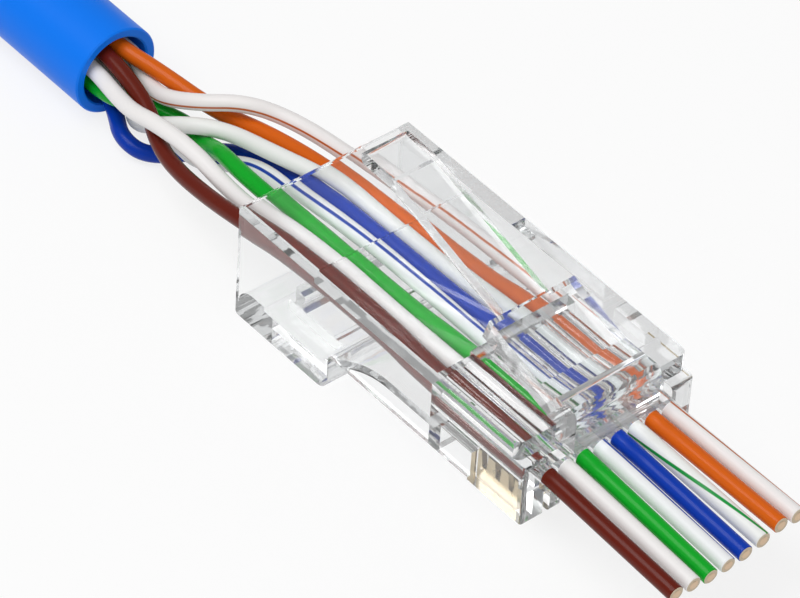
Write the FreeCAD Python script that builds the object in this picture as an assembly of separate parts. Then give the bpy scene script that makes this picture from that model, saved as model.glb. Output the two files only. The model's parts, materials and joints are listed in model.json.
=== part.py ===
"""Pass-through RJ45 modular plug, threaded onto the end of an eight-conductor cable and not yet crimped.

Millimetres. +X points out of the nose, +Z to the latch side and Y runs across the plug.
The origin is the middle of the plug's footprint, on the plane that its contact side lies on.
"""

import FreeCAD, Part
import math
import os

Vector = FreeCAD.Vector
os.makedirs("parts", exist_ok=True)

# ---- Driving dimensions -------------------------------------------------------------------
plug_width = 11.68  # across the side walls
plug_height = 7.85  # contact side of the rear block to the latch side of the body
overall_length = 24.2  # rear face to the front of the latch root
root_overhang = 0.4  # the latch root stands this far in front of the nose
rear_block_length = 7.9  # the deep part that carries the cable clamp
front_underside = 2.6  # height of the front section's contact side
comb_drop = 0.15  # the contact comb stands this much below the front section
comb_length = 4.4  # contact comb, back from the nose
block_round = 0.9  # lower front edge of the rear block
outer_round = 0.25  # other outer edges of the side outline
rail_round = 0.4  # upright corners at the front of the rails

side_wall = 0.5
rear_roof = 0.9  # roof of the mouth
middle_roof = 1.2  # roof over the cavity
roof_step_from_rear = 6.2  # where the roof thickens
cavity_length = 16.0  # rear face to the wall with the bores
floor_plate = 0.55  # curved floor of the cavity
core_wall = 0.9  # wall between the two pockets of the contact side

conductor_count = 8
conductor_pitch = 1.2
conductor_diameter = 0.98
copper_diameter = 0.56
bore_clearance = 0.04  # all round a conductor in its bore
bore_floor = 0.36  # below the bores
row_height = 5.15  # conductor row above the rest plane
protrusion = 10.05  # conductors beyond the nose

nose_step_length = 0.7  # low step in front of the rails
nose_step_drop = 1.27
sill_top = 5.95  # top of the wall that the conductors leave through
sill_half_width = 4.3

bay_half_width = 3.3  # recess under the latch
bay_floor = 6.75
bay_length = 7.6  # back from the nose

latch_half_width = 2.94
latch_slope = 16.7  # degrees, rising to the rear
latch_thickness = 1.45
latch_length = 6.35  # root to the shoulder, along the body
root_radius = 1.12
root_top = 9.15  # level top of the root block
root_clearance = 0.35  # root block above the sill
root_round = 0.5  # upper front edge of the root block
hinge_height = 7.45
hinge_gap = 0.02
tab_half_width = 1.5
tab_step = 0.6  # the finger tab's top below the shoulder's
tab_thickness = 0.85
tab_tip_length = 2.65  # level end of the finger tab
tab_reach = 18.35  # hinge axis to the tab's tip, along the body

contact_length = 3.2
contact_thickness = 0.35
contact_slot_width = 0.47
contact_bottom = 2.25
contact_top = 4.45
contact_setback = 1.1  # blade behind the nose
prong_count = 3
prong_slot_width = 0.32
prong_slot_depth = 1.05
front_slot_top = 4.15

mouth_bar_length = 2.2  # rounded bar under the cable at the rear
mouth_bar_top = 1.9
bar_step = 0.3  # the block's floor in front of the bar lies this much lower
mouth_round = 1.2
window_end = 6.9  # front edge of the clamp window, from the rear face
window_half_width = 3.6
clamp_half_width = 3.4
clamp_bottom = 0.2
clamp_top = 2.6
clamp_thickness = 0.5
clamp_web = 0.3

jacket_diameter = 5.6
jacket_wall = 0.6
jacket_length = 60.0
jacket_mouth = 17.4  # in front of the jacket, back from the rear face
jacket_side = -0.7  # the jacket's axis beside the plug's middle plane
pair_radius = 1.32  # pairs about the jacket's axis
pair_half_spacing = 0.52

# ---- Places that follow from them ---------------------------------------------------------
rear = -overall_length / 2
nose = rear + overall_length - root_overhang
half_width = plug_width / 2
cavity_half = half_width - side_wall
rail_front = nose - nose_step_length
cavity_end = rear + cavity_length
comb_rear = nose - comb_length
comb_bottom = front_underside - comb_drop
bore_radius = conductor_diameter / 2 + bore_clearance
hinge_x = nose + root_overhang - root_radius
contact_front = nose - contact_setback
jacket_height = jacket_diameter / 2

# Cable colours in the order of the lanes, from the -Y side to the +Y side.
lanes = ["brown", "white_brown", "green", "white_blue", "blue", "white_green", "orange", "white_orange"]

# Each conductor's place in the jacket: the pair's direction about the axis and the side of the pair.
jacket_slots = {
    "brown": (90, 1),
    "orange": (90, -1),
    "white_brown": (180, -1),
    "green": (180, 1),
    "blue": (270, -1),
    "white_green": (270, 1),
    "white_blue": (0, -1),
    "white_orange": (0, 1),
}

# Routes between the jacket and the bores, as x from the rear face, y and z.
routes = {
    "brown": [(-15.0, -1.4, 3.8), (-13.0, -1.8, 3.5), (-11.0, -2.7, 2.9), (-8.5, -3.4, 3.1),
              (-5.0, -3.9, 3.8), (-1.0, -4.25, 4.8), (3.0, -4.25, 5.55), (10.5, -4.2, 5.6)],
    "white_brown": [(-15.0, -2.5, 3.5), (-13.0, -2.9, 3.9), (-11.0, -2.8, 4.4), (-8.0, -2.6, 4.4),
                    (-5.0, -2.7, 4.0), (-2.0, -3.1, 4.5), (3.5, -3.1, 5.4), (10.5, -3.05, 5.15)],
    "green": [(-16.2, -1.9, 2.3), (-15.0, -1.5, 2.5), (-13.8, -0.3, 2.1), (-12.0, 0.35, 2.0), (-10.0, -0.1, 2.2),
              (-7.6, -1.0, 3.8), (-5.0, -1.6, 4.4), (-1.0, -1.9, 4.8), (4.0, -1.9, 4.85), (10.5, -1.85, 4.8)],
    "white_blue": [(-16.2, 0.7, 1.6), (-14.2, -0.4, 0.7), (-12.8, -0.85, 1.35), (-11.6, -0.9, 1.7),
                   (-9.8, -0.7, 1.25), (-7.5, 0.5, 2.2), (-5.0, 0.2, 3.5), (-1.0, -0.7, 4.8), (4.0, -0.65, 5.3), (10.5, -0.6, 5.25)],
    "blue": [(-16.2, -1.6, 0.9), (-14.3, -2.7, 1.0), (-12.6, -2.2, 0.55), (-11.2, 0.2, 0.6),
             (-9.0, 1.6, 1.5), (-5.0, 1.5, 3.0), (-2.0, 0.8, 4.0), (2.0, 0.55, 4.8), (10.5, 0.6, 4.85)],
    "white_green": [(-16.2, -0.4, 1.3), (-14.6, -1.5, 1.2), (-12.5, -1.45, 2.55), (-10.5, -0.45, 3.45),
                    (-8.8, 0.7, 3.5), (-5.0, 0.6, 4.7), (-1.0, 1.6, 5.2), (4.0, 1.75, 5.2), (10.5, 1.75, 5.15)],
    "orange": [(-15.0, 0.6, 3.9), (-11.0, 1.7, 3.3), (-7.0, 2.3, 3.8), (-2.0, 2.7, 4.6), (4.0, 2.85, 4.9), (10.5, 2.95, 4.85)],
    "white_orange": [(-16.2, 0.4, 2.8), (-15.0, -0.1, 2.9), (-13.2, -0.4, 3.5), (-11.0, 0.2, 4.4),
                     (-9.0, 1.9, 4.9), (-7.0, 3.5, 4.3), (-3.0, 3.9, 4.6), (5.0, 4.1, 5.1), (10.5, 4.15, 5.2)],
}
lane_start = 14.0  # the conductors lie in their lanes from here on, from the rear face


# ---- Helpers ------------------------------------------------------------------------------
def block(x0, x1, half_y, z0, z1):
    """A box from x0 to x1 and z0 to z1, centred across the plug."""
    return Part.makeBox(x1 - x0, 2 * half_y, z1 - z0, Vector(x0, -half_y, z0))


def side_profile(points, half_y, middle=0.0):
    """A closed outline of (x, z) points, extruded across the plug."""
    wire = Part.makePolygon([Vector(x, middle - half_y, z) for x, z in points + points[:1]])
    return Part.Face(wire).extrude(Vector(0, 2 * half_y, 0))


def cross_cylinder(x, z, radius, half_y):
    """A cylinder whose axis runs across the plug."""
    return Part.makeCylinder(radius, 2 * half_y, Vector(x, -half_y, z), Vector(0, 1, 0))


def edges_across(shape, places, tolerance=0.02):
    """The shape's edges that run along Y through the given (x, z) places."""
    found = []
    for edge in shape.Edges:
        start, end = edge.Vertexes[0].Point, edge.Vertexes[-1].Point
        for x, z in places:
            near = math.hypot(start.x - x, start.z - z) < tolerance
            if near and math.hypot(end.x - x, end.z - z) < tolerance:
                found.append(edge)
    return found


def edges_upright(shape, places, tolerance=0.02):
    """The shape's edges that run along Z through the given (x, y) places and their mirror images."""
    found = []
    for edge in shape.Edges:
        start, end = edge.Vertexes[0].Point, edge.Vertexes[-1].Point
        for x, y in places:
            near = math.hypot(start.x - x, abs(start.y) - y) < tolerance
            if near and abs(start.x - end.x) + abs(start.y - end.y) < tolerance:
                found.append(edge)
    return found


def rounded_route(points):
    """Straight runs joined by tangent arcs, each arc as large as its two runs allow."""
    edges = []
    radii = []
    start = points[0]
    for before, corner, after in zip(points, points[1:], points[2:]):
        run_in, run_out = corner - before, after - corner
        turn = run_in.getAngle(run_out)
        reach = 0.45 * min(run_in.Length, run_out.Length)
        radius = reach / math.tan(turn / 2)
        radii.append(radius)
        arc_start = corner - run_in.normalize() * reach
        arc_end = corner + run_out.normalize() * reach
        to_centre = (run_out - run_in).normalize()
        middle = corner + to_centre * (radius / math.cos(turn / 2) - radius)
        edges.append(Part.LineSegment(start, arc_start).toShape())
        edges.append(Part.Arc(arc_start, middle, arc_end).toShape())
        start = arc_end
    edges.append(Part.LineSegment(start, points[-1]).toShape())
    return Part.Wire(edges), radii


def rod_along(path, radius):
    """A round solid rod along a route."""
    start = path.Edges[0].Vertexes[0].Point
    heading = path.Edges[0].tangentAt(path.Edges[0].FirstParameter)
    section = Part.Face(Part.Wire(Part.makeCircle(radius, start, heading)))
    rod = path.makePipe(section).Solids[0]
    expected = section.Area * path.Length
    assert abs(rod.Volume - expected) < 0.01 * expected, "a rod's volume is off"
    return rod


def save(name, shape):
    """Write one node."""
    solids = shape.Solids
    assert solids and all(s.isValid() for s in solids), name
    (solids[0] if len(solids) == 1 else Part.makeCompound(solids)).exportStep(f"parts/{name}.step")


# ---- Housing ------------------------------------------------------------------------------
def outer_body():
    """The outside of the housing: deep rear block, shallow front section, contact comb and nose."""
    block_front = rear + rear_block_length
    outline = [
        (rear, 0), (block_front, 0), (block_front, front_underside), (comb_rear, front_underside),
        (comb_rear, comb_bottom), (nose, comb_bottom), (nose, plug_height - nose_step_drop),
        (rail_front, plug_height - nose_step_drop), (rail_front, plug_height), (rear, plug_height),
    ]
    body = side_profile(outline, half_width)
    body = body.makeFillet(block_round, edges_across(body, [outline[1]]))
    body = body.makeFillet(rail_round, edges_upright(body, [(rail_front, half_width)]))
    outer = edges_across(body, [outline[0], outline[5], outline[6], outline[9]])
    return body.makeFillet(outer_round, outer + edges_upright(body, [(nose, half_width)]))


def curved_floor():
    """The curved floor that lifts the conductors from the rear block to the bores' height."""
    climb_start, climb_end = window_end, cavity_length - 3.4
    low, high = mouth_bar_top - bar_step, row_height - bore_radius - bore_floor
    count = 7
    rising = []
    for i in range(count):
        share = i / (count - 1)
        x = rear + climb_start + share * (climb_end - climb_start)
        rising.append(Vector(x, -cavity_half, low + (high - low) * math.sin(share * math.pi / 2)))
    top = Part.BSplineCurve()
    top.interpolate(rising)
    under = top.copy()
    under.translate(Vector(0, 0, -floor_plate))
    corners = [
        rising[-1], Vector(cavity_end, -cavity_half, high), Vector(cavity_end, -cavity_half, high - floor_plate),
        rising[-1] - Vector(0, 0, floor_plate),
    ]
    flat_end = Part.makePolygon(corners)
    back_edge = Part.makeLine(rising[0], rising[0] - Vector(0, 0, floor_plate))
    outline = Part.Wire(Part.__sortEdges__([top.toShape(), *flat_end.Edges, under.toShape(), back_edge]))
    return Part.Face(outline).extrude(Vector(0, 2 * cavity_half, 0))


def cable_cavity():
    """The open space from the mouth to the bores."""
    mouth = block(rear - 1, rear + roof_step_from_rear, cavity_half, mouth_bar_top, plug_height - rear_roof)
    low = mouth_bar_top - bar_step
    return mouth.fuse(block(rear + mouth_bar_length, cavity_end, cavity_half, low, plug_height - middle_roof))


def clamp_window():
    """The opening in the rear block's floor."""
    return block(rear + mouth_bar_length, rear + window_end, window_half_width, -1, mouth_bar_top)


def underside_pockets():
    """The two pockets that core out the front section's contact side."""
    low = front_underside - 1
    under_floor = block(rear + rear_block_length, cavity_end, cavity_half, low, plug_height - middle_roof)
    roof = row_height - bore_radius - bore_floor
    return under_floor.fuse(block(cavity_end + core_wall, comb_rear, cavity_half, low, roof))


def lane_places():
    """The conductors' places across the plug, in lane order."""
    return [(i - (conductor_count - 1) / 2) * conductor_pitch for i in range(conductor_count)]


def conductor_bores():
    """One bore for each conductor, from the cavity out through the nose."""
    length = nose + 1 - cavity_end + 0.5
    bores = [
        Part.makeCylinder(bore_radius, length, Vector(cavity_end - 0.5, y, row_height), Vector(1, 0, 0))
        for y in lane_places()
    ]
    return bores[0].fuse(bores[1:])


def contact_slots():
    """The comb's slots: open below, up into the bores behind, and out through the nose in front."""
    slots = []
    for y in lane_places():
        back = Part.makeBox(
            contact_length + 0.1, contact_slot_width, row_height - comb_bottom + 0.5,
            Vector(contact_front - contact_length - 0.05, y - contact_slot_width / 2, comb_bottom - 0.5),
        )
        front = Part.makeBox(
            contact_setback + 0.5, contact_slot_width, front_slot_top - comb_bottom + 0.5,
            Vector(contact_front - 0.1, y - contact_slot_width / 2, comb_bottom - 0.5),
        )
        slots += [back, front]
    return slots[0].fuse(slots[1:])


def nose_openings():
    """The lowered sill over the conductors and the bay that the latch sinks into."""
    sill = block(rail_front, nose + 1, sill_half_width, sill_top, plug_height + 1)
    bay = block(nose - bay_length, nose + 1, bay_half_width, bay_floor, plug_height + 1)
    seat = cross_cylinder(hinge_x, hinge_height, root_radius + hinge_gap, bay_half_width)
    return bay.fuse([sill, seat])


def clamp_tooth():
    """The hooked cable clamp in the rear block's window, on its thin web."""
    back = rear + mouth_bar_length + 0.35
    tip = back + 2.9
    web_end = rear + window_end + 0.3
    hook = [
        (back, clamp_top), (back, clamp_bottom + 1.1), (back + 0.45, clamp_bottom + 0.35),
        (back + 1.1, clamp_bottom), (tip, clamp_bottom), (tip + 0.35, clamp_bottom + 0.5),
        (web_end, clamp_bottom + 0.5), (web_end, clamp_bottom + 0.5 + clamp_web),
        (tip + 0.1, clamp_bottom + 0.5 + clamp_web), (tip - 0.2, clamp_bottom + clamp_thickness),
        (back + 1.3, clamp_bottom + clamp_thickness), (back + 0.75, clamp_bottom + 0.9),
        (back + clamp_thickness + 0.05, clamp_bottom + 1.5), (back + clamp_thickness + 0.3, clamp_top - 0.35),
    ]
    return side_profile(hook, clamp_half_width)


def mouth_bar_rounding():
    """What is taken off the mouth bar's rear upper edge, so that it is a bell mouth for the cable."""
    corner = block(rear - 1, rear + mouth_round, cavity_half, mouth_bar_top - mouth_round, mouth_bar_top + 0.01)
    return corner.cut(cross_cylinder(rear + mouth_round, mouth_bar_top - mouth_round, mouth_round, cavity_half))


def make_housing():
    """The clear moulded housing, in one piece."""
    body = outer_body()
    for space in (cable_cavity(), clamp_window(), underside_pockets(), mouth_bar_rounding(),
                  conductor_bores(), contact_slots(), nose_openings()):
        body = body.cut(space)
    return body.fuse([curved_floor(), clamp_tooth()]).removeSplitter()


# ---- Latch --------------------------------------------------------------------------------
def make_latch():
    """The lever: a round root in its seat, a wide part with the catching shoulder, and the finger tab."""
    slope = math.radians(latch_slope)
    along, up = Vector(-math.cos(slope), 0, math.sin(slope)), Vector(math.sin(slope), 0, math.cos(slope))
    axis = Vector(hinge_x, 0, hinge_height)
    top = axis + up * root_radius
    shoulder = top + along * (latch_length / math.cos(slope))
    wide = [top, shoulder, shoulder - up * latch_thickness, top - up * latch_thickness]
    lever = side_profile([(p.x, p.z) for p in wide], latch_half_width)
    lever = lever.fuse(cross_cylinder(hinge_x, hinge_height, root_radius, latch_half_width))

    front, root_bottom = hinge_x + root_radius, sill_top + root_clearance
    meeting = top.x - (root_top - top.z) / math.tan(slope)
    root = [(front, root_bottom), (front, root_top), (meeting, root_top), (hinge_x, hinge_height),
            (hinge_x + 0.15, root_bottom)]
    root_block = side_profile(root, latch_half_width)
    lever = lever.fuse(root_block.makeFillet(root_round, edges_across(root_block, [root[1]])))

    tab_top = shoulder - up * tab_step
    level_start = tab_reach - tab_tip_length
    kink = tab_top + along * ((level_start - (hinge_x - tab_top.x)) / math.cos(slope))
    tip = Vector(hinge_x - tab_reach, 0, kink.z + 0.1)
    inner = tab_top - along * 0.6
    tab = [inner, kink, tip, Vector(tip.x, 0, tip.z - tab_thickness), kink - up * tab_thickness, inner - up * tab_thickness]
    lever = lever.fuse(side_profile([(p.x, p.z) for p in tab], tab_half_width)).removeSplitter()
    corner = (tip.x, tip.z), (tip.x, tip.z - tab_thickness)
    return lever.makeFillet(0.3, edges_across(lever, corner))


# ---- Contacts -----------------------------------------------------------------------------
def make_contact(y):
    """A gold-plated blade with its piercing prongs up against the conductor."""
    back, front = contact_front - contact_length, contact_front
    blade = side_profile(
        [(back, contact_bottom + 0.2), (back + 0.2, contact_bottom), (front - 0.2, contact_bottom),
         (front, contact_bottom + 0.2), (front, contact_top), (back, contact_top)],
        contact_thickness / 2, y)
    spacing = contact_length / prong_count
    for i in range(prong_count):
        middle = back + spacing * (i + 0.5)
        edge = prong_slot_width / 2
        slot = [(middle - edge, contact_top - prong_slot_depth), (middle + edge, contact_top - prong_slot_depth),
                (middle + edge + 0.12, contact_top + 0.1), (middle - edge - 0.12, contact_top + 0.1)]
        blade = blade.cut(side_profile(slot, contact_thickness, y))
    return blade


# ---- Cable --------------------------------------------------------------------------------
def jacket_place(name):
    """A conductor's place in the jacket's section, as y and z."""
    direction, side = jacket_slots[name]
    angle = math.radians(direction)
    y = jacket_side + pair_radius * math.cos(angle) - side * pair_half_spacing * math.sin(angle)
    z = jacket_height + pair_radius * math.sin(angle) + side * pair_half_spacing * math.cos(angle)
    return y, z


def conductor_path(name, lane_y):
    """A conductor's centreline: through the jacket, across to its lane, and out past the nose."""
    y, z = jacket_place(name)
    points = [
        Vector(rear - jacket_mouth - jacket_length, y, z),
        Vector(rear - jacket_mouth, y, z),
        *[Vector(rear + px, py, pz) for px, py, pz in routes[name]],
        Vector(rear + lane_start, lane_y, row_height),
        Vector(nose + protrusion, lane_y, row_height),
    ]
    return rounded_route(points)


def make_jacket():
    """The cable's jacket, a straight stub cut square at both ends."""
    start = Vector(rear - jacket_mouth - jacket_length, jacket_side, jacket_height)
    outside = Part.makeCylinder(jacket_diameter / 2, jacket_length, start, Vector(1, 0, 0))
    inside = Part.makeCylinder(jacket_diameter / 2 - jacket_wall, jacket_length, start, Vector(1, 0, 0))
    return outside.cut(inside)


def main():
    save("housing", make_housing())
    save("latch_lever", make_latch())
    for number, y in enumerate(lane_places(), 1):
        save(f"contact_{number}", make_contact(y))
    for name, y in zip(lanes, lane_places()):
        path, radii = conductor_path(name, y)
        print(name, "length", round(path.Length, 1), "radii", [round(r, 1) for r in radii])
        copper = rod_along(path, copper_diameter / 2)
        save(f"wire_{name}", rod_along(path, conductor_diameter / 2).cut(copper))
        save(f"copper_{name}", copper)
    save("cable_jacket", make_jacket())


main()
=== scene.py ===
"""A clear pass-through modular plug on the fanned-out conductors of a blue network cable."""
import json
import logging
import math
from dataclasses import dataclass, field
from enum import Enum

import bpy
import numpy as np
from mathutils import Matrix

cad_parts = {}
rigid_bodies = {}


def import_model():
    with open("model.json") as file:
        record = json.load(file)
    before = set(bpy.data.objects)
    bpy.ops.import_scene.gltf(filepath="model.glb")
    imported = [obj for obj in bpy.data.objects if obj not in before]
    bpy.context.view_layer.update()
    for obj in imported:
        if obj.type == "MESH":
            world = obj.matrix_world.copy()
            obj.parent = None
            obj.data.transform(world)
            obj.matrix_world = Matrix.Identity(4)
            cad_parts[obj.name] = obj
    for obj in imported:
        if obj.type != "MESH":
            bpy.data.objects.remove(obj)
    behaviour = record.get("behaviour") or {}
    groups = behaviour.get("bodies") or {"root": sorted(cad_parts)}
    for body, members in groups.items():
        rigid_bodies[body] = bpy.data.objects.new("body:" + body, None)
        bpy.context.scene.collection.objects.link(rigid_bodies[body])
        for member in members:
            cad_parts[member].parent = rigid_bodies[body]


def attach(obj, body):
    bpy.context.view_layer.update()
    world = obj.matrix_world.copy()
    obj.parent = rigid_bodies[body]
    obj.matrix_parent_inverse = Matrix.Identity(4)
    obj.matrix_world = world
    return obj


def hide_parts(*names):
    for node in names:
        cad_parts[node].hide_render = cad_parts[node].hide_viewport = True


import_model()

log = logging.getLogger("modular_plug")
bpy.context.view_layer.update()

MM = 0.001
# Two points of a line that lie nearer than this, in metres, are one.
SAME_PLACE = 1e-7
# The Mix node's colour sockets, by number, because its other sockets have the same names.
MIX_UNDER, MIX_OVER, MIX_RESULT = 6, 7, 2
WHITE = (1.0, 1.0, 1.0, 1.0)
Colour = tuple[float, float, float, float]
Point = tuple[float, float, float]


# ---- Node-building helpers ------------------------------------------------------------------
def add_node(tree: bpy.types.NodeTree, kind: str, **settings: object) -> bpy.types.Node:
    """Add a node and set its properties.

    Args:
        tree: The node tree that takes the node.
        kind: The node's type name.
        settings: Properties of the node, by name.

    Returns:
        The new node.
    """
    node = tree.nodes.new(kind)
    for name, value in settings.items():
        setattr(node, name, value)
    return node


def calculate(tree: bpy.types.NodeTree, operation: str, first: object, second: object = 0.0,
              third: object = None, clamp: bool = False) -> bpy.types.NodeSocket:
    """Add one arithmetic node.

    Args:
        tree: The node tree that takes the node.
        operation: The Math node's operation.
        first: A socket or a number.
        second: A socket or a number.
        third: A socket or a number, for operations with three values.
        clamp: True to hold the result between 0 and 1.

    Returns:
        The node's result.
    """
    node = add_node(tree, "ShaderNodeMath", operation=operation, use_clamp=clamp)
    for place, value in enumerate((first, second, third)):
        if isinstance(value, bpy.types.NodeSocket):
            tree.links.new(value, node.inputs[place])
        elif value is not None:
            node.inputs[place].default_value = value
    return node.outputs[0]


def new_group(name: str, inputs: dict[str, tuple[str, object]],
              outputs: dict[str, str]) -> bpy.types.NodeTree:
    """Start a shader node group with named sockets.

    Args:
        name: The group's name.
        inputs: Socket type and default value, by socket name.
        outputs: Socket type, by socket name.

    Returns:
        The group with its two end nodes in place.
    """
    group = bpy.data.node_groups.new(name, "ShaderNodeTree")
    for label, (kind, default) in inputs.items():
        socket = group.interface.new_socket(name=label, in_out="INPUT", socket_type=kind)
        socket.default_value = default
    for label, kind in outputs.items():
        group.interface.new_socket(name=label, in_out="OUTPUT", socket_type=kind)
    add_node(group, "NodeGroupInput", name="in")
    add_node(group, "NodeGroupOutput", name="out")
    return group


def place_group(tree: bpy.types.NodeTree, group: bpy.types.NodeTree,
                values: dict[str, object]) -> bpy.types.Node:
    """Put a group into a material and set its inputs.

    Args:
        tree: The material's node tree.
        group: The group to place.
        values: Input values or source sockets, by socket name.

    Returns:
        The group node.
    """
    node = add_node(tree, "ShaderNodeGroup", node_tree=group)
    for label, value in values.items():
        if isinstance(value, bpy.types.NodeSocket):
            tree.links.new(value, node.inputs[label])
        else:
            node.inputs[label].default_value = value
    return node


def paint_over(tree: bpy.types.NodeTree, shader: bpy.types.Node, mask: bpy.types.NodeSocket,
               colour: Colour) -> None:
    """Paint a colour over what a shader's Base Color has so far.

    Args:
        tree: The material's node tree.
        shader: The Principled shader.
        mask: 1 where the new colour shows.
        colour: The new colour.
    """
    base = shader.inputs["Base Color"]
    mix = add_node(tree, "ShaderNodeMix", data_type="RGBA")
    mix.inputs[MIX_UNDER].default_value = tuple(base.default_value)
    mix.inputs[MIX_OVER].default_value = colour
    if base.is_linked:
        tree.links.new(base.links[0].from_socket, mix.inputs[MIX_UNDER])
    tree.links.new(mask, mix.inputs[0])
    tree.links.new(mix.outputs[MIX_RESULT], base)


def mix_surfaces(tree: bpy.types.NodeTree, share: bpy.types.NodeSocket, first: bpy.types.Node,
                 second: bpy.types.Node) -> None:
    """Blend two shaders and send the blend to the material's surface.

    Args:
        tree: The material's node tree.
        share: The second shader's share.
        first: The shader at share 0.
        second: The shader at share 1.
    """
    blend = add_node(tree, "ShaderNodeMixShader")
    for place, source in enumerate((share, first.outputs[0], second.outputs[0])):
        tree.links.new(source, blend.inputs[place])
    tree.links.new(blend.outputs[0], tree.nodes["Material Output"].inputs["Surface"])


# ---- Effects that several materials share ---------------------------------------------------
class SharedEffects:
    """The shader groups that more than one material uses, each built once."""

    noise_detail: float = 3.0
    noise_middle: float = 0.5
    stripe_edge: float = 60.0

    def __init__(self) -> None:
        """Build every group."""
        self.handling = self._handling()
        self.stripe = self._stripe()

    def _handling(self) -> bpy.types.NodeTree:
        """Build the unevenness that handling and moulding leave.

        Returns:
            A group that gives a roughness and a height, both from one noise of the position.
        """
        group = new_group(
            "handling_marks",
            {"Position": ("NodeSocketVector", (0.0, 0.0, 0.0)), "Scale": ("NodeSocketFloat", 800.0),
             "Base": ("NodeSocketFloat", 0.3), "Spread": ("NodeSocketFloat", 0.1)},
            {"Roughness": "NodeSocketFloat", "Height": "NodeSocketFloat"},
        )
        enter, leave = group.nodes["in"], group.nodes["out"]
        broad = add_node(group, "ShaderNodeTexNoise")
        broad.inputs["Detail"].default_value = self.noise_detail
        group.links.new(enter.outputs["Position"], broad.inputs["Vector"])
        group.links.new(enter.outputs["Scale"], broad.inputs["Scale"])
        swing = calculate(group, "SUBTRACT", broad.outputs[0], self.noise_middle)
        spread = calculate(group, "MULTIPLY", swing, enter.outputs["Spread"])
        rough = calculate(group, "ADD", spread, enter.outputs["Base"], clamp=True)
        group.links.new(rough, leave.inputs["Roughness"])
        group.links.new(broad.outputs[0], leave.inputs["Height"])
        return group

    def _stripe(self) -> bpy.types.NodeTree:
        """Build the coloured stripe that runs along a conductor and slowly winds round it.

        The mask is 1 where |wrap(angle - centre - twist * max(length, winds_from))| is under the half
        width, with a soft edge. The angle and the length come from the conductor's own UV map.

        Returns:
            A group that gives the mask.
        """
        group = new_group(
            "winding_stripe",
            {"Along": ("NodeSocketVector", (0.0, 0.0, 0.0)), "Centre": ("NodeSocketFloat", 0.0),
             "Twist": ("NodeSocketFloat", 0.0), "Winds From": ("NodeSocketFloat", 0.0),
             "Half Width": ("NodeSocketFloat", 0.1)},
            {"Mask": "NodeSocketFloat"},
        )
        enter, leave = group.nodes["in"], group.nodes["out"]
        split = add_node(group, "ShaderNodeSeparateXYZ")
        group.links.new(enter.outputs["Along"], split.inputs[0])
        wound = calculate(group, "MAXIMUM", split.outputs[0], enter.outputs["Winds From"])
        wander = calculate(group, "MULTIPLY", wound, enter.outputs["Twist"])
        shifted = calculate(group, "SUBTRACT", split.outputs[1], wander)
        shifted = calculate(group, "SUBTRACT", shifted, enter.outputs["Centre"])
        wrapped = calculate(group, "WRAP", shifted, 0.5, -0.5)
        off = calculate(group, "ABSOLUTE", wrapped)
        inside = calculate(group, "SUBTRACT", enter.outputs["Half Width"], off)
        mask = calculate(group, "MULTIPLY", inside, self.stripe_edge, clamp=True)
        group.links.new(mask, leave.inputs["Mask"])
        return group


# ---- Finishes -------------------------------------------------------------------------------
def start_material(name: str) -> tuple[bpy.types.Material, bpy.types.NodeTree, bpy.types.Node]:
    """Make a material that has a Principled shader and an output.

    Args:
        name: The material's name.

    Returns:
        The material, its node tree and its Principled shader.
    """
    material = bpy.data.materials.new(name)
    material.use_nodes = True
    tree = material.node_tree
    return material, tree, tree.nodes["Principled BSDF"]


@dataclass(frozen=True)
class SurfaceMarks:
    """How uneven a finish is: the noise's scale, its swing in roughness, and its relief if any."""

    scale: float
    spread: float
    relief: float = 0.0
    depth: float = 0.0001

    def apply(self, tree: bpy.types.NodeTree, shader: bpy.types.Node, effects: SharedEffects,
              roughness: float) -> None:
        """Vary a shader's roughness and, with a relief, its normal.

        Args:
            tree: The material's node tree.
            shader: The Principled shader.
            effects: The shared shader groups.
            roughness: The roughness that the marks swing round.
        """
        place = add_node(tree, "ShaderNodeTexCoord")
        marks = place_group(tree, effects.handling, {
            "Position": place.outputs["Object"], "Scale": self.scale, "Base": roughness,
            "Spread": self.spread})
        tree.links.new(marks.outputs["Roughness"], shader.inputs["Roughness"])
        if self.relief > 0.0:
            bump = add_node(tree, "ShaderNodeBump")
            bump.inputs["Strength"].default_value = self.relief
            bump.inputs["Distance"].default_value = self.depth
            tree.links.new(marks.outputs["Height"], bump.inputs["Height"])
            tree.links.new(bump.outputs[0], shader.inputs["Normal"])


@dataclass(frozen=True)
class ClearMoulding:
    """Clear polycarbonate, glossy, with faint flow marks."""

    tint: Colour = (0.99, 0.994, 0.995, 1.0)
    roughness: float = 0.03
    marks: SurfaceMarks = SurfaceMarks(scale=260.0, spread=0.05, relief=0.04, depth=0.0002)
    ior: float = 1.58
    shade: Colour = (0.93, 0.94, 0.95, 1.0)
    depth_tint: Colour = (0.30, 0.33, 0.34, 1.0)
    depth_density: float = 40.0

    def make(self, effects: SharedEffects) -> bpy.types.Material:
        """Build the material.

        Args:
            effects: The shared shader groups.

        Returns:
            Glass that bends light and lets lamps through to what it covers.
        """
        material, tree, shader = start_material("clear_polycarbonate")
        shader.inputs["Base Color"].default_value = self.tint
        shader.inputs["Transmission Weight"].default_value = 1.0
        shader.inputs["IOR"].default_value = self.ior
        self.marks.apply(tree, shader, effects, self.roughness)
        through = add_node(tree, "ShaderNodeBsdfTransparent")
        through.inputs["Color"].default_value = self.shade
        ray = add_node(tree, "ShaderNodeLightPath")
        mix_surfaces(tree, ray.outputs["Is Shadow Ray"], shader, through)
        inside = add_node(tree, "ShaderNodeVolumeAbsorption")
        inside.inputs["Color"].default_value = self.depth_tint
        inside.inputs["Density"].default_value = self.depth_density
        tree.links.new(inside.outputs[0], tree.nodes["Material Output"].inputs["Volume"])
        return material


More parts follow.
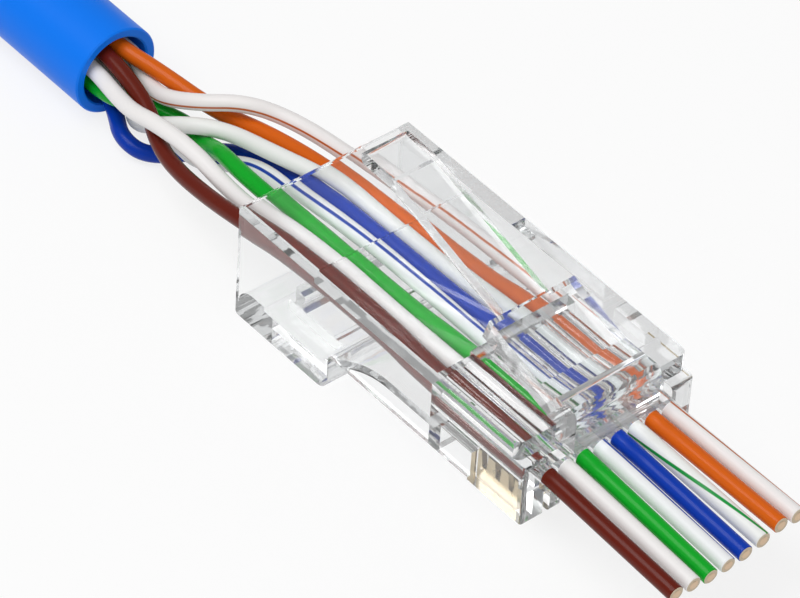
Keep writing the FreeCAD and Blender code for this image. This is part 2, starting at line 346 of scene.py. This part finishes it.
@dataclass(frozen=True)
class PlatedMetal:
    """Bright metal with slight unevenness: the gold on the contacts, or the drawn copper."""

    name: str
    colour: Colour
    roughness: float
    marks: SurfaceMarks = SurfaceMarks(scale=1500.0, spread=0.2)

    def make(self, effects: SharedEffects) -> bpy.types.Material:
        """Build the material.

        Args:
            effects: The shared shader groups.

        Returns:
            The metal.
        """
        material, tree, shader = start_material(self.name)
        shader.inputs["Base Color"].default_value = self.colour
        shader.inputs["Metallic"].default_value = 1.0
        self.marks.apply(tree, shader, effects, self.roughness)
        return material


@dataclass(frozen=True)
class Stripe:
    """A coloured line along a conductor, at an angle in turns from the top towards the -y side.

    The angle is centre + twist * max(length, winds_from), with the length in metres from the conductor's
    end in the jacket. So the line runs straight as far as winds_from.
    """

    colour: Colour
    centre: float
    twist: float
    half_width: float = 0.04
    winds_from: float = 0.0


@dataclass(frozen=True)
class ExtrudedPlastic:
    """Satin extruded plastic, for the jacket and the insulation, with an optional winding stripe."""

    name: str
    colour: Colour
    roughness: float
    gloss: float
    ior: float = 1.5
    marks: SurfaceMarks = SurfaceMarks(scale=900.0, spread=0.15, relief=0.12)
    stripe: Stripe | None = None
    cut_at: float | None = None
    cut_colour: Colour = (0.56, 0.46, 0.33, 1.0)

    def make(self, effects: SharedEffects) -> bpy.types.Material:
        """Build the material.

        Args:
            effects: The shared shader groups.

        Returns:
            The plastic. Its stripe and its paler cut end, if it has them, follow the piece's own UV map.
        """
        material, tree, shader = start_material(self.name)
        shader.inputs["Base Color"].default_value = self.colour
        shader.inputs["IOR"].default_value = self.ior
        shader.inputs["Specular IOR Level"].default_value = self.gloss
        self.marks.apply(tree, shader, effects, self.roughness)
        place = add_node(tree, "ShaderNodeTexCoord")
        if self.stripe is not None:
            mask = place_group(tree, effects.stripe, {
                "Along": place.outputs["UV"], "Centre": self.stripe.centre, "Twist": self.stripe.twist,
                "Winds From": self.stripe.winds_from, "Half Width": self.stripe.half_width})
            paint_over(tree, shader, mask.outputs["Mask"], self.stripe.colour)
        if self.cut_at is not None:
            split = add_node(tree, "ShaderNodeSeparateXYZ")
            tree.links.new(place.outputs["UV"], split.inputs[0])
            cut = calculate(tree, "GREATER_THAN", split.outputs[0], self.cut_at)
            paint_over(tree, shader, cut, self.cut_colour)
        return material


class Insulation(Enum):
    """The conductors' looks: the insulation's colour, then the stripe or None."""

    BROWN = ((0.120, 0.012, 0.005, 1.0), None)
    WHITE_BROWN = ((0.82, 0.80, 0.79, 1.0), Stripe((0.16, 0.04, 0.02, 1.0), centre=0.41, twist=3.0))
    GREEN = ((0.004, 0.36, 0.020, 1.0), None)
    WHITE_BLUE = ((0.81, 0.82, 0.83, 1.0), Stripe((0.01, 0.05, 0.35, 1.0), centre=0.55, twist=-6.0))
    BLUE = ((0.003, 0.040, 0.380, 1.0), None)
    WHITE_GREEN = ((0.80, 0.81, 0.79, 1.0),
                   Stripe((0.01, 0.28, 0.05, 1.0), centre=0.98, twist=-36.0, winds_from=0.0985))
    ORANGE = ((0.64, 0.115, 0.006, 1.0), None)
    WHITE_ORANGE = ((0.82, 0.79, 0.78, 1.0),
                    Stripe((0.50, 0.12, 0.03, 1.0), centre=0.79, twist=-8.0, half_width=0.03))


# ---- Surfaces -------------------------------------------------------------------------------
def follow_spline(name: str, points: np.ndarray, resolution: int = 16) -> np.ndarray:
    """Read the smooth line of a NURBS spline that has the given control points.

    Args:
        name: A name for the working curve.
        points: Control points, n x 3, in metres.
        resolution: Steps between two control points.

    Returns:
        Points along the spline, m x 3.
    """
    curve = bpy.data.curves.new(name, "CURVE")
    curve.dimensions = "3D"
    curve.resolution_u = resolution
    spline = curve.splines.new("NURBS")
    spline.points.add(len(points) - 1)
    spline.points.foreach_set("co", np.column_stack([points, np.ones(len(points))]).ravel())
    spline.order_u = 3
    spline.use_endpoint_u = True
    spline.resolution_u = resolution
    carrier = bpy.data.objects.new(name, curve)
    bpy.context.scene.collection.objects.link(carrier)
    read = bpy.data.meshes.new_from_object(carrier)
    line = np.empty(len(read.vertices) * 3)
    read.vertices.foreach_get("co", line)
    bpy.data.objects.remove(carrier)
    bpy.data.curves.remove(curve)
    bpy.data.meshes.remove(read)
    line = line.reshape(-1, 3)
    step = np.linalg.norm(np.diff(line, axis=0), axis=1)
    return line[np.concatenate([[True], step > SAME_PLACE])]


def sweep(line: np.ndarray, outline: np.ndarray, around: int) -> tuple[np.ndarray, np.ndarray]:
    """Carry rings along a line that nowhere runs straight up.

    The surface is S(i, v) = L(s_i) + e_i T(s_i) + r_i (cos v N(s_i) + sin v B(s_i)), where T is the
    line's direction, N the upright direction made square to T, and B = T x N. Each row of the outline
    gives the step s_i on the line, the shift e_i along it, and the radius r_i.

    Args:
        line: Points along the line, m x 3.
        outline: Rows of (step on the line, shift, radius), k x 3.
        around: Points round each ring.

    Returns:
        The surface's points, k x around x 3, and the length along the line at each outline row.
    """
    heading = np.gradient(line, axis=0)
    heading /= np.linalg.norm(heading, axis=1, keepdims=True)
    upright = np.array([0.0, 0.0, 1.0]) - heading * heading[:, 2:3]
    upright /= np.linalg.norm(upright, axis=1, keepdims=True)
    aside = np.cross(heading, upright)
    travelled = np.concatenate([[0.0], np.cumsum(np.linalg.norm(np.diff(line, axis=0), axis=1))])
    step = outline[:, 0].astype(int)
    angle = np.linspace(0.0, 2.0 * math.pi, around, endpoint=False)
    ring = (np.cos(angle)[None, :, None] * upright[step][:, None, :]
            + np.sin(angle)[None, :, None] * aside[step][:, None, :])
    centre = line[step] + outline[:, 1:2] * heading[step]
    points = centre[:, None, :] + outline[:, 2][:, None, None] * ring
    return points, travelled[step] + outline[:, 1]


def grid_piece(name: str, points: np.ndarray, loops: bool, along: np.ndarray) -> bpy.types.Object:
    """Make a mesh from a grid of points that closes round its second direction.

    Args:
        name: The piece's name.
        points: The grid, k x n x 3.
        loops: True where the last row also joins the first, as on a tube with a wall. Otherwise the
            first and the last row are each closed with one face.
        along: The length at each row, for the UV map, whose second value is the turn round the ring.

    Returns:
        The piece, at the origin.
    """
    rows, count, _ = points.shape
    index = np.arange(rows * count).reshape(rows, count)
    following = np.roll(index, -1, axis=0) if loops else index[1:]
    current = index if loops else index[:-1]
    beside_following, beside_current = (np.roll(side, -1, axis=1) for side in (following, current))
    quads = np.stack([current, following, beside_following, beside_current], axis=-1).reshape(-1, 4)
    polygons = quads.tolist()
    if not loops:
        polygons += [index[0].tolist(), index[-1][::-1].tolist()]
    mesh = bpy.data.meshes.new(name)
    mesh.from_pydata(points.reshape(-1, 3), [], polygons)
    turn = np.arange(count) / count
    corner_turn = np.stack([turn, turn, turn + 1.0 / count, turn + 1.0 / count], axis=-1)
    bands = len(quads) // count
    length = np.stack([along[:bands], np.roll(along, -1)[:bands]], axis=-1)
    corner_length = length[:, [0, 1, 1, 0]]
    uv = np.empty((bands, count, 4, 2))
    uv[..., 0] = corner_length[:, None, :]
    uv[..., 1] = corner_turn[None, :, :]
    flat = uv.reshape(-1, 2)
    if not loops:
        flat = np.concatenate([flat, np.zeros((2 * count, 2))])
    mesh.uv_layers.new(name="along_and_round").data.foreach_set("uv", flat.ravel())
    mesh.polygons.foreach_set("use_smooth", np.ones(len(mesh.polygons), dtype=bool))
    mesh.update()
    piece = bpy.data.objects.new(name, mesh)
    bpy.context.scene.collection.objects.link(piece)
    return piece


def sharpen(piece: bpy.types.Object, degrees: float = 35.0) -> None:
    """Keep a piece's sharp edges crisp under smooth shading.

    Args:
        piece: The piece.
        degrees: The angle from which an edge is sharp.
    """
    piece.data.set_sharp_from_angle(angle=math.radians(degrees))


def wear(piece: bpy.types.Object, material: bpy.types.Material) -> None:
    """Give a piece one material.

    Args:
        piece: The piece.
        material: Its only material.
    """
    piece.data.materials.clear()
    piece.data.materials.append(material)


# ---- The cable ------------------------------------------------------------------------------
@dataclass
class Conductor:
    """One insulated copper conductor, from the jacket's far end to its cut tip in front of the nose.

    Sizes are in mm. The jacket's mouth lies jacket_mouth behind the plug's rear face, and lane_start,
    bore_end, free_start and tip lie in front of that face, whose own x is rear. The conductor runs
    straight for mouth_run inside the mouth, and the pale cut takes in pale_share of the cut rim.
    """

    name: str
    insulation: Insulation
    in_jacket: tuple[float, float]
    lane: float
    route: list[Point]
    tip_drop: float = 0.0
    diameter: float = 0.98
    copper_diameter: float = 0.56
    rear: float = -12.1
    jacket_mouth: float = 17.4
    jacket_length: float = 60.0
    mouth_run: float = 1.6
    lane_start: float = 14.0
    bore_end: float = 22.5
    free_start: float = 24.6
    row_height: float = 5.15
    tip: float = 33.85
    lip: float = 0.06
    pale_share: float = 0.4
    around: int = 24
    core_around: int = 16
    core_fit: float = 0.999
    core_end: float = 0.9
    core_proud: float = 0.02

    def control_points(self) -> np.ndarray:
        """Give the whole route: jacket, crossing, lane, and a tip that droops once it is free.

        Returns:
            The spline's control points, n x 3, in metres.
        """
        y, z = self.in_jacket
        mouth = -self.jacket_mouth
        places = [(x, y, z) for x in (mouth - self.jacket_length, mouth - self.mouth_run, mouth)]
        places += self.route
        straight = (self.lane_start, self.bore_end, self.free_start)
        places += [(x, self.lane, self.row_height) for x in straight]
        places.append((self.tip, self.lane, self.row_height - self.tip_drop))
        return (np.array(places) + np.array([self.rear, 0.0, 0.0])) * MM

    def build_insulation(self, effects: SharedEffects, line: np.ndarray) -> bpy.types.Object:
        """Build and dress the insulation, a tube whose two rims are slightly eased.

        Args:
            effects: The shared shader groups.
            line: Points along the conductor's middle, m x 3.

        Returns:
            The insulation.
        """
        last = len(line) - 1
        outer, inner, lip = self.diameter / 2 * MM, self.copper_diameter / 2 * MM, self.lip * MM
        steps = np.arange(last + 1, dtype=float)
        flat = np.zeros(last + 1)
        shift = np.where(steps == 0, lip, np.where(steps == last, -lip, flat))
        outline = np.concatenate([
            [[0, 0, outer - lip]],
            np.column_stack([steps, shift, np.full(last + 1, outer)]),
            [[last, 0, outer - lip]],
            np.column_stack([steps[::-1], flat, np.full(last + 1, inner)]),
        ])
        points, along = sweep(line, outline, self.around)
        name = f"insulation_{self.name}"
        tube = grid_piece(name, points, True, along)
        sharpen(tube)
        colour, stripe = self.insulation.value
        finish = ExtrudedPlastic(name, colour, roughness=0.24, gloss=0.16, stripe=stripe,
                                 cut_at=float(along.max()) - self.pale_share * lip)
        wear(tube, finish.make(effects))
        return tube

    def build_copper(self, copper: bpy.types.Material, line: np.ndarray) -> bpy.types.Object:
        """Build and dress the copper, a rod with eased ends that stands slightly out of the cut tip.

        Args:
            copper: The copper's material.
            line: Points along the conductor's middle, m x 3.

        Returns:
            The copper.
        """
        last = len(line) - 1
        radius = self.copper_diameter / 2 * MM
        steps = np.arange(last + 1, dtype=float)
        outline = np.concatenate([
            [[0, 0, radius * self.core_end]],
            np.column_stack([steps, np.zeros(last + 1), np.full(last + 1, radius * self.core_fit)]),
            [[last, self.core_proud * MM, radius * self.core_end]],
        ])
        points, along = sweep(line, outline, self.core_around)
        rod = grid_piece(f"core_{self.name}", points, False, along)
        sharpen(rod)
        wear(rod, copper)
        return rod

    def build(self, effects: SharedEffects, copper: bpy.types.Material) -> list[bpy.types.Object]:
        """Build and dress the insulation and the copper in it.

        Args:
            effects: The shared shader groups.
            copper: The copper's material.

        Returns:
            The insulation and the copper.
        """
        line = follow_spline(self.name, self.control_points())
        tube = self.build_insulation(effects, line)
        rod = self.build_copper(copper, line)
        for piece, node, slot in ((tube, f"wire_{self.name}", f"insulation_{self.name}"),
                                  (rod, f"copper_{self.name}", "bare_copper")):
            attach(piece, "plug")
            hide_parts(node)
        log.info("conductor %s: %d rings", self.name, len(line))
        return [tube, rod]


@dataclass
class Cable:
    """The round jacket and the eight conductors that leave it.

    Sizes are in mm. tip_drops says how far each free tip hangs below its bore.
    """

    jacket_diameter: float = 5.6
    jacket_wall: float = 0.6
    jacket_rim: float = 0.09
    jacket_side: float = -0.7
    pair_radius: float = 1.32
    pair_half_spacing: float = 0.52
    pitch: float = 1.2
    jacket_colour: Colour = (0.003, 0.18, 0.84, 1.0)
    copper_colour: Colour = (0.64, 0.47, 0.32, 1.0)
    copper_roughness: float = 0.35
    around: int = 72
    jacket_resolution: int = 24
    tip_drops: dict[str, float] = field(default_factory=lambda: {
        "brown": 0.55, "white_brown": 0.6, "green": 0.75, "white_blue": 0.65, "blue": 0.55,
        "white_green": 0.3, "orange": -0.1, "white_orange": -0.05})

    def slots(self) -> dict[str, tuple[float, float]]:
        """Give each conductor's slot in the jacket.

        Returns:
            The pair's direction in degrees and the conductor's side of the pair, by conductor.
        """
        return {"brown": (90, 1), "orange": (90, -1), "white_brown": (180, -1), "green": (180, 1),
                "blue": (270, -1), "white_green": (270, 1), "white_blue": (0, -1), "white_orange": (0, 1)}

    def routes(self) -> dict[str, list[Point]]:
        """Give the conductors' routes from the jacket to the bores.

        Returns:
            Points in mm, with x from the plug's rear face, by conductor in the order of the lanes.
        """
        return {
            "brown": [(-15.0, -1.4, 3.8), (-13.0, -1.8, 3.5), (-11.0, -2.7, 2.9), (-8.5, -3.4, 3.1),
                      (-5.0, -3.9, 3.8), (-1.0, -4.25, 4.8), (3.0, -4.25, 5.55), (10.5, -4.2, 5.6)],
            "white_brown": [(-15.0, -2.5, 3.5), (-13.0, -2.9, 3.9), (-11.0, -2.8, 4.4), (-8.0, -2.6, 4.4),
                            (-5.0, -2.7, 4.0), (-2.0, -3.1, 4.5), (3.5, -3.1, 5.4), (10.5, -3.05, 5.15)],
            "green": [(-16.2, -1.9, 2.3), (-15.0, -1.5, 2.5), (-13.8, -0.3, 2.1), (-12.0, 0.35, 2.0),
                      (-10.0, -0.1, 2.2), (-7.6, -1.0, 3.8), (-5.0, -1.6, 4.4), (-1.0, -1.9, 4.8),
                      (4.0, -1.9, 4.85), (10.5, -1.85, 4.8)],
            "white_blue": [(-16.2, 0.7, 1.6), (-14.2, -0.4, 0.7), (-12.8, -0.85, 1.35), (-11.6, -0.9, 1.7),
                           (-9.8, -0.7, 1.25), (-7.5, 0.5, 2.2), (-5.0, 0.2, 3.5), (-1.0, -0.7, 4.8),
                           (4.0, -0.65, 5.3), (10.5, -0.6, 5.25)],
            "blue": [(-16.2, -1.6, 0.9), (-14.3, -2.7, 1.0), (-12.6, -2.2, 0.55), (-11.2, 0.2, 0.6),
                     (-9.0, 1.6, 1.5), (-5.0, 1.5, 3.0), (-2.0, 0.8, 4.0), (2.0, 0.55, 4.8),
                     (10.5, 0.6, 4.85)],
            "white_green": [(-16.2, -0.4, 1.3), (-14.6, -1.5, 1.2), (-12.5, -1.45, 2.55),
                            (-10.5, -0.45, 3.45), (-8.8, 0.7, 3.5), (-5.0, 0.6, 4.7), (-1.0, 1.6, 4.95),
                            (4.0, 1.65, 4.8), (10.5, 1.7, 4.85)],
            "orange": [(-15.0, 0.5, 3.8), (-11.0, 1.45, 3.1), (-7.0, 2.2, 3.75), (-2.0, 2.55, 4.35),
                       (4.0, 2.65, 4.55), (10.5, 2.8, 4.6)],
            "white_orange": [(-16.2, 0.4, 2.8), (-15.0, -0.1, 2.9), (-13.2, -0.4, 3.5), (-11.0, 0.2, 4.4),
                             (-9.0, 1.9, 4.9), (-7.0, 3.5, 4.3), (-3.0, 3.9, 4.6), (5.0, 4.1, 5.1),
                             (10.5, 4.15, 5.2)],
        }

    def place_in_jacket(self, name: str) -> tuple[float, float]:
        """Give a conductor's place in the jacket's section.

        Args:
            name: The conductor's name.

        Returns:
            The place's y and z, in mm.
        """
        direction, side = self.slots()[name]
        turn, offset = math.radians(direction), side * self.pair_half_spacing
        y = self.jacket_side + self.pair_radius * math.cos(turn) - offset * math.sin(turn)
        z = self.jacket_diameter / 2 + self.pair_radius * math.sin(turn) + offset * math.cos(turn)
        return y, z

    def build_jacket(self, effects: SharedEffects) -> tuple[bpy.types.Object, np.ndarray]:
        """Build and dress the jacket, a tube with a wall and slightly eased rims.

        Args:
            effects: The shared shader groups.

        Returns:
            The jacket and the points of its centreline.
        """
        length = Conductor.jacket_length
        start = Conductor.rear - Conductor.jacket_mouth - length
        places = [(x, self.jacket_side, self.jacket_diameter / 2)
                  for x in (start, start + length / 2, start + length)]
        line = follow_spline("jacket_line", np.array(places) * MM, self.jacket_resolution)
        last = len(line) - 1
        outer = self.jacket_diameter / 2 * MM
        inner = outer - self.jacket_wall * MM
        lip = self.jacket_rim * MM
        steps = np.arange(last + 1, dtype=float)
        shift = np.where(steps == 0, lip, np.where(steps == last, -lip, 0.0))
        outline = np.concatenate([
            np.column_stack([steps, shift, np.full(last + 1, outer)]),
            [[last, 0.0, outer - lip], [last, 0.0, inner + lip]],
            np.column_stack([steps[::-1], shift[::-1], np.full(last + 1, inner)]),
            [[0, 0.0, inner + lip], [0, 0.0, outer - lip]],
        ])
        points, along = sweep(line, outline, self.around)
        jacket = grid_piece("jacket", points, True, along)
        sharpen(jacket)
        finish = ExtrudedPlastic("jacket_skin", self.jacket_colour, roughness=0.38, gloss=0.12,
                                 marks=SurfaceMarks(scale=500.0, spread=0.15, relief=0.18))
        wear(jacket, finish.make(effects))
        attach(jacket, "plug")
        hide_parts("cable_jacket")
        log.info("jacket: %d rings", len(outline))
        return jacket, line

    def build(self, effects: SharedEffects) -> None:
        """Args:
            effects: The shared shader groups.
        """
        jacket, line = self.build_jacket(effects)
        copper = PlatedMetal("drawn_copper", self.copper_colour, self.copper_roughness).make(effects)
        pieces: list[bpy.types.Object] = []
        routes = self.routes()
        for place, (name, route) in enumerate(routes.items()):
            lane = (place - (len(routes) - 1) / 2) * self.pitch
            conductor = Conductor(name, Insulation[name.upper()], self.place_in_jacket(name), lane, route,
                                  self.tip_drops[name])
            pieces += conductor.build(effects, copper)


# ---- The plug -------------------------------------------------------------------------------
@dataclass
class Plug:
    """The moulded housing, its latch and its contacts, which come from the frame."""

    contact_count: int = 8
    edge_round: float = 0.07
    edge_segments: int = 2
    edge_angle: float = 40.0
    weld_distance: float = 1e-6
    level_weight: int = 100
    gold_colour: Colour = (0.60, 0.49, 0.31, 1.0)
    gold_roughness: float = 0.30

    def ease_edges(self, node: bpy.types.Object) -> None:
        """Round a moulding's edges slightly, as a mould does.

        Args:
            node: The housing or the latch.
        """
        weld = node.modifiers.new("join", "WELD")
        weld.merge_threshold = self.weld_distance
        bevel = node.modifiers.new("eased_edges", "BEVEL")
        bevel.width = self.edge_round * MM
        bevel.segments = self.edge_segments
        bevel.limit_method = "ANGLE"
        bevel.angle_limit = math.radians(self.edge_angle)
        bevel.use_clamp_overlap = True
        level = node.modifiers.new("level_faces", "WEIGHTED_NORMAL")
        level.weight = self.level_weight
        level.keep_sharp = True

    def build(self, effects: SharedEffects) -> None:
        """Dress the housing, the latch and the contacts.

        Args:
            effects: The shared shader groups.
        """
        clear = ClearMoulding().make(effects)
        for name in ("housing", "latch_lever"):
            node = bpy.data.objects[name]
            wear(node, clear)
            self.ease_edges(node)
            log.info("moulding %s dressed", name)
        gold = PlatedMetal("gold_plate", self.gold_colour, self.gold_roughness).make(effects)
        for number in range(1, self.contact_count + 1):
            wear(bpy.data.objects[f"contact_{number}"], gold)
        log.info("%d contacts dressed", self.contact_count)


# ---- Studio ---------------------------------------------------------------------------------
@dataclass(frozen=True)
class Viewpoint:
    """A long lens that looks down on the nose and one side.

    Lengths are in metres, angles in degrees, and the lens and its sensor in mm.
    """

    azimuth: float = 46.8
    elevation: float = 42.8
    roll: float = 4.42
    distance: float = 0.300
    target: Point = (-0.0001, 0.0, 0.004)
    lens: float = 252.3
    shift: tuple[float, float] = (-0.0782, 0.0453)
    sensor: float = 36.0
    clip: tuple[float, float] = (0.01, 10.0)

    def build(self) -> None:
        """Create the camera.

        With azimuth a, elevation e and roll r: back = (sin a cos e, -cos a cos e, sin e), right and up
        are square to it and turned by r about it, and the camera stands at target + distance * back.
        """
        a, e, r = (math.radians(v) for v in (self.azimuth, self.elevation, self.roll))
        back = np.array([math.sin(a) * math.cos(e), -math.cos(a) * math.cos(e), math.sin(e)])
        level = np.array([math.cos(a), math.sin(a), 0.0])
        upright = np.cross(back, level)
        right = level * math.cos(r) + upright * math.sin(r)
        up = -level * math.sin(r) + upright * math.cos(r)
        matrix = np.eye(4)
        place = np.array(self.target) + self.distance * back
        matrix[:3, :] = np.column_stack([right, up, back, place])
        lens = bpy.data.cameras.new("camera")
        lens.lens = self.lens
        lens.sensor_width = self.sensor
        lens.shift_x, lens.shift_y = self.shift
        lens.clip_start, lens.clip_end = self.clip
        camera = bpy.data.objects.new("camera", lens)
        camera.matrix_world = matrix.T.tolist()
        bpy.context.scene.collection.objects.link(camera)
        bpy.context.scene.camera = camera


@dataclass(frozen=True)
class SoftLamp:
    """A large, soft, square lamp that points at the plug. Sizes are in metres."""

    name: str
    place: Point
    size: float
    watts: float

    def build(self) -> None:
        """Create the lamp and turn it to the origin, which it must not stand straight above."""
        lamp = bpy.data.lights.new(self.name, "AREA")
        lamp.shape = "SQUARE"
        lamp.size = self.size
        lamp.energy = self.watts
        holder = bpy.data.objects.new(self.name, lamp)
        place = np.array(self.place)
        back = place / np.linalg.norm(place)
        side = np.cross([0.0, 0.0, 1.0], back)
        side /= np.linalg.norm(side)
        matrix = np.eye(4)
        matrix[:3, :] = np.column_stack([side, np.cross(back, side), back, place])
        holder.matrix_world = matrix.T.tolist()
        bpy.context.scene.collection.objects.link(holder)


@dataclass
class Studio:
    """A white floor under soft light from above. Sizes are in metres."""

    floor_half: float = 0.6
    floor_height: float = -0.00003
    floor_colour: Colour = (0.86, 0.86, 0.86, 1.0)
    floor_roughness: float = 0.9
    floor_gloss: float = 0.1
    world_strength: float = 0.38
    brighten: float = 0.8
    light_bounces: int = 24
    lamps: list[SoftLamp] = field(default_factory=lambda: [
        SoftLamp("key", (-0.10, -0.20, 0.45), size=0.35, watts=1.60),
        SoftLamp("fill", (0.36, -0.10, 0.26), size=0.30, watts=0.45),
    ])

    def build_floor(self) -> None:
        """Lay the floor: pale, taking shadows, and brightened for every ray that only looks at it."""
        signs = ((-1, -1), (1, -1), (1, 1), (-1, 1))
        corners = [(x * self.floor_half, y * self.floor_half, self.floor_height) for x, y in signs]
        mesh = bpy.data.meshes.new("floor")
        mesh.from_pydata(corners, [], [[0, 1, 2, 3]])
        floor = bpy.data.objects.new("floor", mesh)
        bpy.context.scene.collection.objects.link(floor)
        material, tree, shader = start_material("white_floor")
        shader.inputs["Base Color"].default_value = self.floor_colour
        shader.inputs["Roughness"].default_value = self.floor_roughness
        shader.inputs["Specular IOR Level"].default_value = self.floor_gloss
        white = add_node(tree, "ShaderNodeEmission")
        white.inputs["Color"].default_value = WHITE
        ray = add_node(tree, "ShaderNodeLightPath")
        seen = calculate(tree, "MAXIMUM", ray.outputs["Is Camera Ray"], ray.outputs["Is Glossy Ray"])
        seen = calculate(tree, "MAXIMUM", seen, ray.outputs["Is Transmission Ray"])
        share = calculate(tree, "MULTIPLY", seen, self.brighten)
        mix_surfaces(tree, share, shader, white)
        wear(floor, material)

    def build_world(self) -> None:
        """Surround the scene with even white light."""
        world = bpy.data.worlds.new("studio")
        bpy.context.scene.world = world
        world.use_nodes = True
        sky = world.node_tree.nodes["Background"]
        sky.inputs["Color"].default_value = WHITE
        sky.inputs["Strength"].default_value = self.world_strength

    def build(self) -> None:
        """Build the floor, the world and the lamps, and show the colours as they are written."""
        scene = bpy.context.scene
        scene.view_settings.view_transform = "Standard"
        scene.cycles.max_bounces = self.light_bounces
        scene.cycles.glossy_bounces = self.light_bounces
        scene.cycles.transmission_bounces = self.light_bounces
        self.build_floor()
        self.build_world()
        for lamp in self.lamps:
            lamp.build()
        log.info("studio: %d lamps", len(self.lamps))


def main() -> None:
    """Build the scene in order: camera, cable, plug and studio."""
    logging.basicConfig(level=logging.INFO, format="%(name)s %(message)s")
    Viewpoint().build()
    effects = SharedEffects()
    Cable().build(effects)
    Plug().build(effects)
    Studio().build()


if __name__ == "__main__":
    main()
